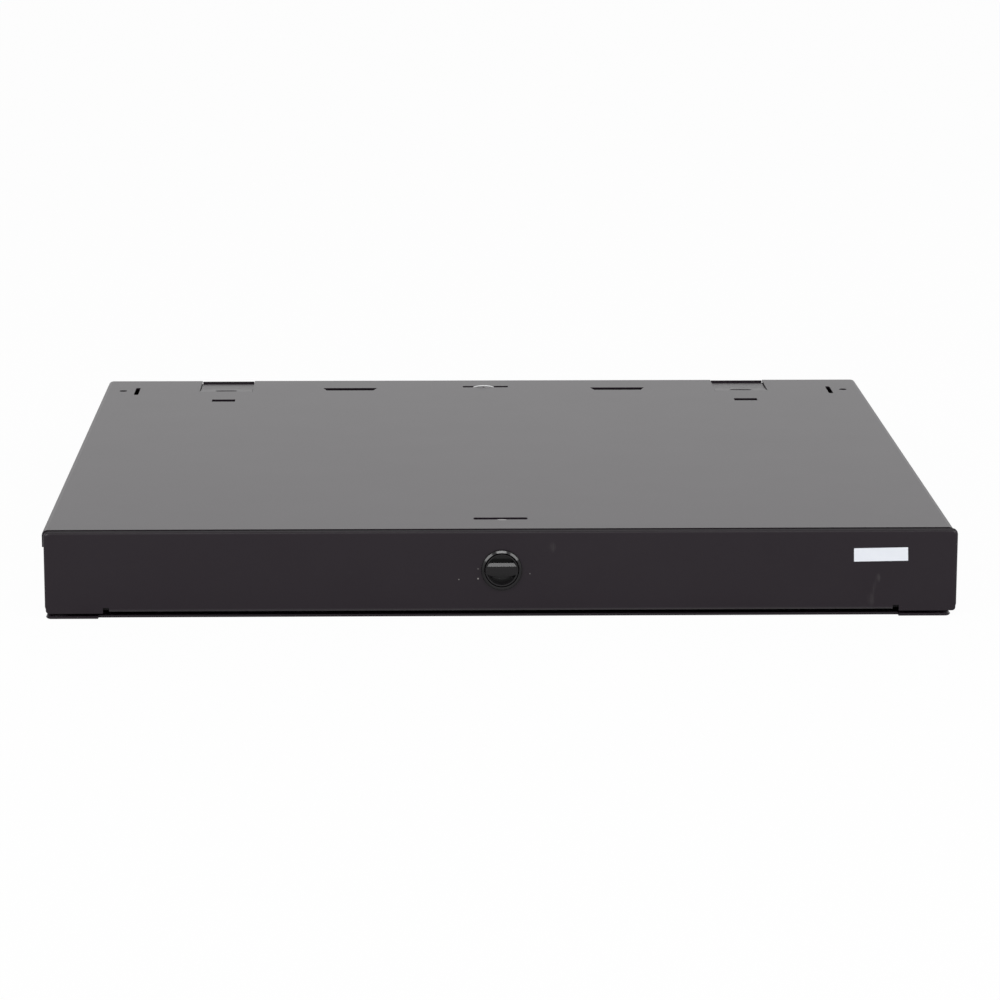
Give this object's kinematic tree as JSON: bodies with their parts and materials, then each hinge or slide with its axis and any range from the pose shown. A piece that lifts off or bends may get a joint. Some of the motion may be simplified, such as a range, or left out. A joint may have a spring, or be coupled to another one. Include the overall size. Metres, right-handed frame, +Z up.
{
  "type": "sliding fibre patch drawer",
  "caption": "Flat black rack enclosure with a sliding tray of fibre adapters, telescopic rails, a drop-down front door and quarter-turn latches.",
  "frame": {"origin": "bottom centre of the shell, on the plane it rests on", "axes": "+X to the right seen from the front, +Y to the rear, +Z up; the door faces -Y"},
  "size_m": [0.4484, 0.4191, 0.0444],
  "materials": {
    "powder_coat": "fine matt powder coat",
    "zinc": "bright zinc plate",
    "rail_steel": "zinc-plated cold-rolled steel",
    "black_plastic": "semi-gloss moulded",
    "rubber": "matt",
    "adapter_blue": "moulded"
  },
  "bodies": {
    "chassis": {"base_pan": "powder_coat", "top_cover": "powder_coat", "rear_panel": "powder_coat", "left_port_grommet": "rubber", "right_port_grommet": "rubber", "left_outer_rail": "rail_steel", "right_outer_rail": "rail_steel", "rear_latch_bezel": "black_plastic", "rear_latch_lock_nut": "black_plastic"},
    "rear_latch": {"rear_latch_knob": "black_plastic", "rear_latch_cam": "zinc", "rear_latch_cam_nut": "zinc"},
    "middle_rails": {"left_middle_rail": "rail_steel", "right_middle_rail": "rail_steel"},
    "drawer": {"drawer_tray": "powder_coat", "left_inner_rail": "rail_steel", "right_inner_rail": "rail_steel", "panel_frame": "powder_coat", "left_hinge_pin": "zinc", "right_hinge_pin": "zinc", "left_slack_spool": "black_plastic", "right_slack_spool": "black_plastic", "left_cord_guide": "black_plastic", "right_cord_guide": "black_plastic", "adapter_panel_1": "powder_coat", "adapter_panel_2": "powder_coat", "adapter_panel_3": "powder_coat", "adapter_1_1": "adapter_blue", "adapter_1_2": "adapter_blue", "adapter_1_3": "adapter_blue", "adapter_1_4": "adapter_blue", "adapter_1_5": "adapter_blue", "adapter_1_6": "adapter_blue", "adapter_2_1": "adapter_blue", "adapter_2_2": "adapter_blue", "adapter_2_3": "adapter_blue", "adapter_2_4": "adapter_blue", "adapter_2_5": "adapter_blue", "adapter_2_6": "adapter_blue", "adapter_3_1": "adapter_blue", "adapter_3_2": "adapter_blue", "adapter_3_3": "adapter_blue", "adapter_3_4": "adapter_blue", "adapter_3_5": "adapter_blue", "adapter_3_6": "adapter_blue"},
    "plunger_1": {"plunger_1": "black_plastic"},
    "plunger_2": {"plunger_2": "black_plastic"},
    "plunger_3": {"plunger_3": "black_plastic"},
    "plunger_4": {"plunger_4": "black_plastic"},
    "plunger_5": {"plunger_5": "black_plastic"},
    "plunger_6": {"plunger_6": "black_plastic"},
    "door": {"door_panel": "powder_coat", "front_latch_bezel": "black_plastic", "front_latch_lock_nut": "black_plastic"},
    "front_latch": {"front_latch_knob": "black_plastic", "front_latch_cam": "zinc", "front_latch_cam_nut": "zinc"}
  },
  "joints": [
    {"name": "drawer_slide", "type": "slide", "parent": "chassis", "child": "drawer", "axis": [0, -1, 0], "range_m": [0, 0.32]},
    {"name": "middle_rail_slide", "type": "slide", "parent": "chassis", "child": "middle_rails", "axis": [0, -1, 0], "range_m": [0, 0.16]},
    {"name": "door_hinge", "type": "hinge", "parent": "drawer", "child": "door", "pos_m": [0, -0.2051, 0.0076], "axis": [1, 0, 0], "range_deg": [0, 90]},
    {"name": "front_latch_turn", "type": "hinge", "parent": "door", "child": "front_latch", "pos_m": [0.0011, -0.2085, 0.0239], "axis": [0, 1, 0], "range_deg": [0, 90]},
    {"name": "rear_latch_turn", "type": "hinge", "parent": "chassis", "child": "rear_latch", "pos_m": [0, 0.207, 0.0239], "axis": [0, 1, 0], "range_deg": [0, 90]},
    {"name": "plunger_1_pull", "type": "slide", "parent": "drawer", "child": "plunger_1", "axis": [0, -1, 0], "range_m": [0, 0.0035]},
    {"name": "plunger_2_pull", "type": "slide", "parent": "drawer", "child": "plunger_2", "axis": [0, -1, 0], "range_m": [0, 0.0035]},
    {"name": "plunger_3_pull", "type": "slide", "parent": "drawer", "child": "plunger_3", "axis": [0, -1, 0], "range_m": [0, 0.0035]},
    {"name": "plunger_4_pull", "type": "slide", "parent": "drawer", "child": "plunger_4", "axis": [0, -1, 0], "range_m": [0, 0.0035]},
    {"name": "plunger_5_pull", "type": "slide", "parent": "drawer", "child": "plunger_5", "axis": [0, -1, 0], "range_m": [0, 0.0035]},
    {"name": "plunger_6_pull", "type": "slide", "parent": "drawer", "child": "plunger_6", "axis": [0, -1, 0], "range_m": [0, 0.0035]}
  ],
  "couplings": [
    {"joint": "middle_rail_slide", "follows": "drawer_slide", "ratio": 0.5}
  ]
}
